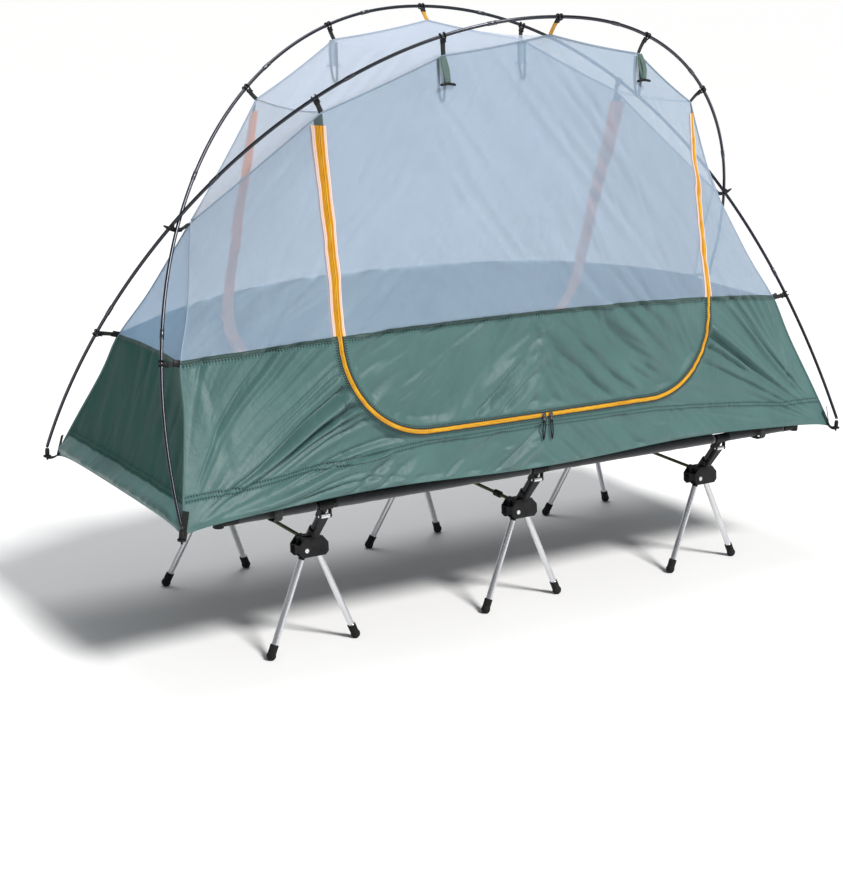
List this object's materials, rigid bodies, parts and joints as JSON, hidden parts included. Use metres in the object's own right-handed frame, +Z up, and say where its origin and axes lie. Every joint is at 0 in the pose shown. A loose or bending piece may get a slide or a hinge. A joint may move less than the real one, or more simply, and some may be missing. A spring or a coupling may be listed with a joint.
{
  "type": "folding camp cot with tent",
  "caption": "One-person folding camp cot with splayed folding legs, carrying a two-hoop mesh tent with a roll-up zip door on each long side.",
  "frame": {"origin": "on the ground, under the middle of the cot", "axes": "+X from the head end to the foot end, -Y towards the front door, +Z up"},
  "size_m": [2.1314, 0.7566, 1.524],
  "materials": {
    "deck_cloth": "woven black polyester",
    "frame_tube": "black anodised",
    "bright_alloy": "satin",
    "leg_alloy": "satin, with black nylon and rubber ends",
    "pole_alloy": "dark anodised",
    "black_plastic": "moulded nylon",
    "olive_strut": "olive green",
    "dark_webbing": "woven webbing",
    "yellow_webbing": "woven webbing",
    "green_webbing": "woven webbing",
    "green_cloth": "coated sage green polyester",
    "mesh_cloth": "see-through mesh",
    "zip_tape": "orange-yellow coil zip"
  },
  "bodies": {
    "cot_and_tent": {"deck_fabric": "deck_cloth", "rail_front": "frame_tube", "rail_back": "frame_tube", "rail_ferrules": "bright_alloy", "end_bars": "frame_tube", "corner_elbows": "black_plastic", "leg_hubs": "black_plastic", "hub_braces": "olive_strut", "rail_arms": "frame_tube", "rail_saddles": "black_plastic", "pivot_pins": "bright_alloy", "pole_front": "pole_alloy", "pole_back": "pole_alloy", "pole_ferrules": "bright_alloy", "pole_tips": "pole_alloy", "crossing_hooks": "black_plastic", "pole_clips": "black_plastic", "clip_straps": "dark_webbing", "centre_straps": "yellow_webbing", "corner_tabs": "dark_webbing", "cot_loops": "dark_webbing", "tub_floor": "green_cloth", "wall_front_lower": "green_cloth", "wall_back_lower": "green_cloth", "wall_head_lower": "green_cloth", "wall_foot_lower": "green_cloth", "wall_front_mesh": "mesh_cloth", "wall_back_mesh": "mesh_cloth", "wall_head_mesh": "mesh_cloth", "wall_foot_mesh": "mesh_cloth", "roof_mesh": "mesh_cloth", "zip_front_frame": "zip_tape", "zip_back_frame": "zip_tape", "door_toggles": "green_webbing"},
    "door_front": {"door_front_lower": "green_cloth", "door_front_mesh": "mesh_cloth", "zip_front_door": "zip_tape"},
    "door_back": {"door_back_lower": "green_cloth", "door_back_mesh": "mesh_cloth", "zip_back_door": "zip_tape"},
    "lever_head": {"lever_head": "black_plastic"},
    "leg_head_front_left": {"leg_head_front_left": "leg_alloy"},
    "leg_head_front_right": {"leg_head_front_right": "leg_alloy"},
    "leg_head_back_left": {"leg_head_back_left": "leg_alloy"},
    "leg_head_back_right": {"leg_head_back_right": "leg_alloy"},
    "lever_middle": {"lever_middle": "black_plastic"},
    "leg_middle_front_left": {"leg_middle_front_left": "leg_alloy"},
    "leg_middle_front_right": {"leg_middle_front_right": "leg_alloy"},
    "leg_middle_back_left": {"leg_middle_back_left": "leg_alloy"},
    "leg_middle_back_right": {"leg_middle_back_right": "leg_alloy"},
    "lever_foot": {"lever_foot": "black_plastic"},
    "leg_foot_front_left": {"leg_foot_front_left": "leg_alloy"},
    "leg_foot_front_right": {"leg_foot_front_right": "leg_alloy"},
    "leg_foot_back_left": {"leg_foot_back_left": "leg_alloy"},
    "leg_foot_back_right": {"leg_foot_back_right": "leg_alloy"},
    "slider_front_left": {"slider_front_left": "bright_alloy"},
    "slider_front_right": {"slider_front_right": "bright_alloy"},
    "slider_back_left": {"slider_back_left": "bright_alloy"},
    "slider_back_right": {"slider_back_right": "bright_alloy"}
  },
  "joints": [
    {"name": "door_front_open", "type": "hinge", "parent": "cot_and_tent", "child": "door_front", "pos_m": [0, -0.275, 1.257], "axis": [-1, 0, 0], "range_deg": [0, 80]},
    {"name": "door_back_open", "type": "hinge", "parent": "cot_and_tent", "child": "door_back", "pos_m": [0, 0.275, 1.257], "axis": [1, 0, 0], "range_deg": [0, 80]},
    {"name": "lever_head_release", "type": "hinge", "parent": "cot_and_tent", "child": "lever_head", "pos_m": [-0.64, -0.31739, 0.3523], "axis": [-1, 0, 0], "range_deg": [0, 110]},
    {"name": "leg_head_front_left_fold", "type": "hinge", "parent": "cot_and_tent", "child": "leg_head_front_left", "pos_m": [-0.662, -0.26119, 0.25157], "axis": [0, -0.9903, 0.1392], "range_deg": [0, 112]},
    {"name": "leg_head_front_right_fold", "type": "hinge", "parent": "cot_and_tent", "child": "leg_head_front_right", "pos_m": [-0.618, -0.23881, 0.24843], "axis": [0, 0.9903, -0.1392], "range_deg": [0, 112]},
    {"name": "leg_head_back_left_fold", "type": "hinge", "parent": "cot_and_tent", "child": "leg_head_back_left", "pos_m": [-0.662, 0.23881, 0.24843], "axis": [0, -0.9903, -0.1392], "range_deg": [0, 112]},
    {"name": "leg_head_back_right_fold", "type": "hinge", "parent": "cot_and_tent", "child": "leg_head_back_right", "pos_m": [-0.618, 0.26119, 0.25157], "axis": [0, 0.9903, 0.1392], "range_deg": [0, 112]},
    {"name": "lever_middle_release", "type": "hinge", "parent": "cot_and_tent", "child": "lever_middle", "pos_m": [0, -0.31739, 0.3523], "axis": [-1, 0, 0], "range_deg": [0, 110]},
    {"name": "leg_middle_front_left_fold", "type": "hinge", "parent": "cot_and_tent", "child": "leg_middle_front_left", "pos_m": [-0.022, -0.26119, 0.25157], "axis": [0, -0.9903, 0.1392], "range_deg": [0, 112]},
    {"name": "leg_middle_front_right_fold", "type": "hinge", "parent": "cot_and_tent", "child": "leg_middle_front_right", "pos_m": [0.022, -0.23881, 0.24843], "axis": [0, 0.9903, -0.1392], "range_deg": [0, 112]},
    {"name": "leg_middle_back_left_fold", "type": "hinge", "parent": "cot_and_tent", "child": "leg_middle_back_left", "pos_m": [-0.022, 0.23881, 0.24843], "axis": [0, -0.9903, -0.1392], "range_deg": [0, 112]},
    {"name": "leg_middle_back_right_fold", "type": "hinge", "parent": "cot_and_tent", "child": "leg_middle_back_right", "pos_m": [0.022, 0.26119, 0.25157], "axis": [0, 0.9903, 0.1392], "range_deg": [0, 112]},
    {"name": "lever_foot_release", "type": "hinge", "parent": "cot_and_tent", "child": "lever_foot", "pos_m": [0.64, -0.31739, 0.3523], "axis": [-1, 0, 0], "range_deg": [0, 110]},
    {"name": "leg_foot_front_left_fold", "type": "hinge", "parent": "cot_and_tent", "child": "leg_foot_front_left", "pos_m": [0.618, -0.26119, 0.25157], "axis": [0, -0.9903, 0.1392], "range_deg": [0, 112]},
    {"name": "leg_foot_front_right_fold", "type": "hinge", "parent": "cot_and_tent", "child": "leg_foot_front_right", "pos_m": [0.662, -0.23881, 0.24843], "axis": [0, 0.9903, -0.1392], "range_deg": [0, 112]},
    {"name": "leg_foot_back_left_fold", "type": "hinge", "parent": "cot_and_tent", "child": "leg_foot_back_left", "pos_m": [0.618, 0.23881, 0.24843], "axis": [0, -0.9903, -0.1392], "range_deg": [0, 112]},
    {"name": "leg_foot_back_right_fold", "type": "hinge", "parent": "cot_and_tent", "child": "leg_foot_back_right", "pos_m": [0.662, 0.26119, 0.25157], "axis": [0, 0.9903, 0.1392], "range_deg": [0, 112]},
    {"name": "slider_front_left_run", "type": "slide", "parent": "door_front", "child": "slider_front_left", "axis": [-1, 0, 0], "range_m": [0, 0.33]},
    {"name": "slider_front_right_run", "type": "slide", "parent": "door_front", "child": "slider_front_right", "axis": [1, 0, 0], "range_m": [0, 0.33]},
    {"name": "slider_back_left_run", "type": "slide", "parent": "door_back", "child": "slider_back_left", "axis": [-1, 0, 0], "range_m": [0, 0.33]},
    {"name": "slider_back_right_run", "type": "slide", "parent": "door_back", "child": "slider_back_right", "axis": [1, 0, 0], "range_m": [0, 0.33]}
  ]
}
